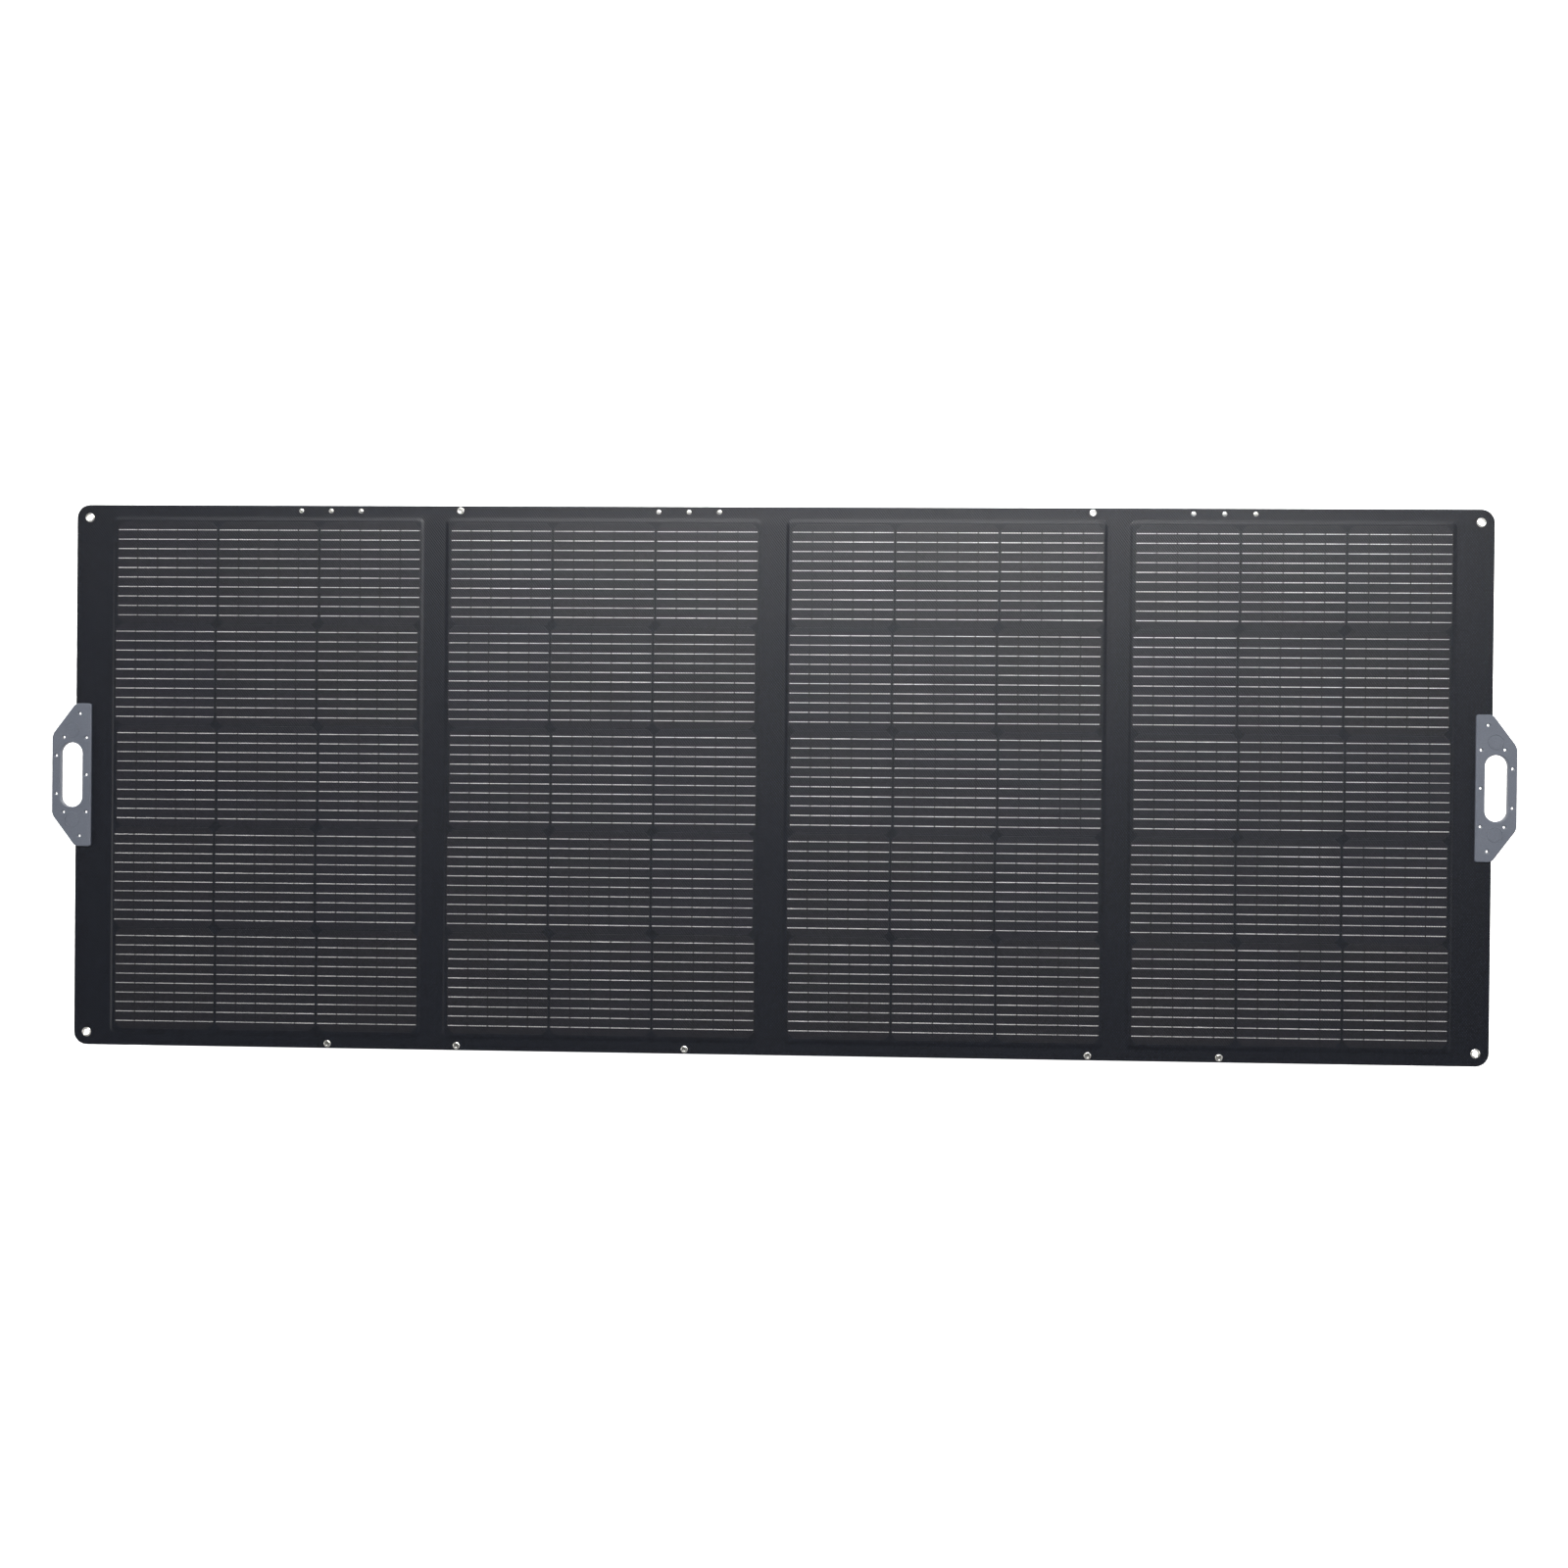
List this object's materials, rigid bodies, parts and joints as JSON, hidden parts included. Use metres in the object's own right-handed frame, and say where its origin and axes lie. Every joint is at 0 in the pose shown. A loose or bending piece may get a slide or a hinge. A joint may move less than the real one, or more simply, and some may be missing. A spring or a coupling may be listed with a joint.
{
  "type": "folding solar blanket",
  "caption": "Folding solar blanket: stiff cell leaves in an embossed fabric skin, joined by fabric folds, with slotted handle plates, corner eyelets and kickstands on the back.",
  "frame": {"origin": "on the surface that the open blanket lies on, under its middle", "axes": "+X along the blanket from the left handle to the right, +Y up the height of the leaves towards the kickstand hinges, +Z out of the front"},
  "size_m": [2.6208, 0.98, 0.0132],
  "materials": {
    "front_laminate": "embossed satin film over dark fabric",
    "back_fabric": "woven black polyester",
    "stiffener_board": "bare glass-fibre board",
    "solar_cell": "dark blue-grey wafer with silver busbars",
    "handle_plastic": "moulded, fine texture",
    "magnet": "nickel plated",
    "nickel": "bright nickel plate",
    "painted_metal": "gunmetal lacquer",
    "kickstand_board": "fabric-covered board",
    "box_plastic": "moulded, fine texture"
  },
  "bodies": {
    "leaf_1": {"leaf_1_front_cover": "front_laminate", "leaf_1_back_cover": "back_fabric", "leaf_1_board": "stiffener_board", "leaf_1_cells": "solar_cell", "handle_left_front_shell": "handle_plastic", "handle_left_back_shell": "handle_plastic", "handle_left_magnet_bottom": "magnet", "handle_left_magnet_top": "magnet", "eyelet_left_bottom": "nickel", "eyelet_left_top": "nickel", "rivet_1_1": "nickel", "rivet_1_2": "nickel", "rivet_1_3": "nickel", "kickstand_1_keeper_stud": "nickel", "kickstand_1_hinge_plate": "painted_metal", "kickstand_1_pin": "nickel"},
    "leaf_2": {"leaf_2_front_cover": "front_laminate", "leaf_2_back_cover": "back_fabric", "leaf_2_board": "stiffener_board", "leaf_2_cells": "solar_cell", "fold_stud_left_bottom": "nickel", "fold_stud_left_top": "nickel", "rivet_2_1": "nickel", "rivet_2_2": "nickel", "rivet_2_3": "nickel", "kickstand_2_keeper_stud": "nickel", "kickstand_2_hinge_plate": "painted_metal", "kickstand_2_pin": "nickel"},
    "leaf_3": {"leaf_3_front_cover": "front_laminate", "leaf_3_back_cover": "back_fabric", "leaf_3_board": "stiffener_board", "leaf_3_cells": "solar_cell", "fold_stud_right_bottom": "nickel", "fold_stud_right_top": "nickel"},
    "leaf_4": {"leaf_4_front_cover": "front_laminate", "leaf_4_back_cover": "back_fabric", "leaf_4_board": "stiffener_board", "leaf_4_cells": "solar_cell", "handle_right_front_shell": "handle_plastic", "handle_right_back_shell": "handle_plastic", "handle_right_magnet_bottom": "magnet", "handle_right_magnet_top": "magnet", "eyelet_right_bottom": "nickel", "eyelet_right_top": "nickel", "rivet_4_1": "nickel", "rivet_4_2": "nickel", "rivet_4_3": "nickel", "kickstand_4_keeper_stud": "nickel", "kickstand_4_hinge_plate": "painted_metal", "kickstand_4_pin": "nickel", "junction_box_base": "box_plastic", "junction_box_lid": "box_plastic", "cable_gland": "box_plastic"},
    "kickstand_1": {"kickstand_1_leg": "kickstand_board", "kickstand_1_foot_stud": "nickel"},
    "kickstand_2": {"kickstand_2_leg": "kickstand_board", "kickstand_2_foot_stud": "nickel"},
    "kickstand_4": {"kickstand_4_leg": "kickstand_board", "kickstand_4_foot_stud": "nickel"}
  },
  "joints": [
    {"name": "fold_1", "type": "hinge", "parent": "leaf_1", "child": "leaf_2", "pos_m": [-0.6117, 0, 0.0128], "axis": [0, -1, 0], "range_deg": [0, 179]},
    {"name": "fold_2", "type": "hinge", "parent": "leaf_2", "child": "leaf_3", "pos_m": [0, 0, -0.001], "axis": [0, 1, 0], "range_deg": [0, 179]},
    {"name": "fold_3", "type": "hinge", "parent": "leaf_3", "child": "leaf_4", "pos_m": [0.6117, 0, 0.0128], "axis": [0, -1, 0], "range_deg": [0, 179]},
    {"name": "kickstand_1_hinge", "type": "hinge", "parent": "leaf_1", "child": "kickstand_1", "pos_m": [-0.801, 0.466, 0.0034], "axis": [-1, 0, 0], "range_deg": [-60, 0]},
    {"name": "kickstand_2_hinge", "type": "hinge", "parent": "leaf_2", "child": "kickstand_2", "pos_m": [-0.153, 0.466, 0.0034], "axis": [-1, 0, 0], "range_deg": [-60, 0]},
    {"name": "kickstand_4_hinge", "type": "hinge", "parent": "leaf_4", "child": "kickstand_4", "pos_m": [0.797, 0.466, 0.0034], "axis": [-1, 0, 0], "range_deg": [-60, 0]}
  ]
}
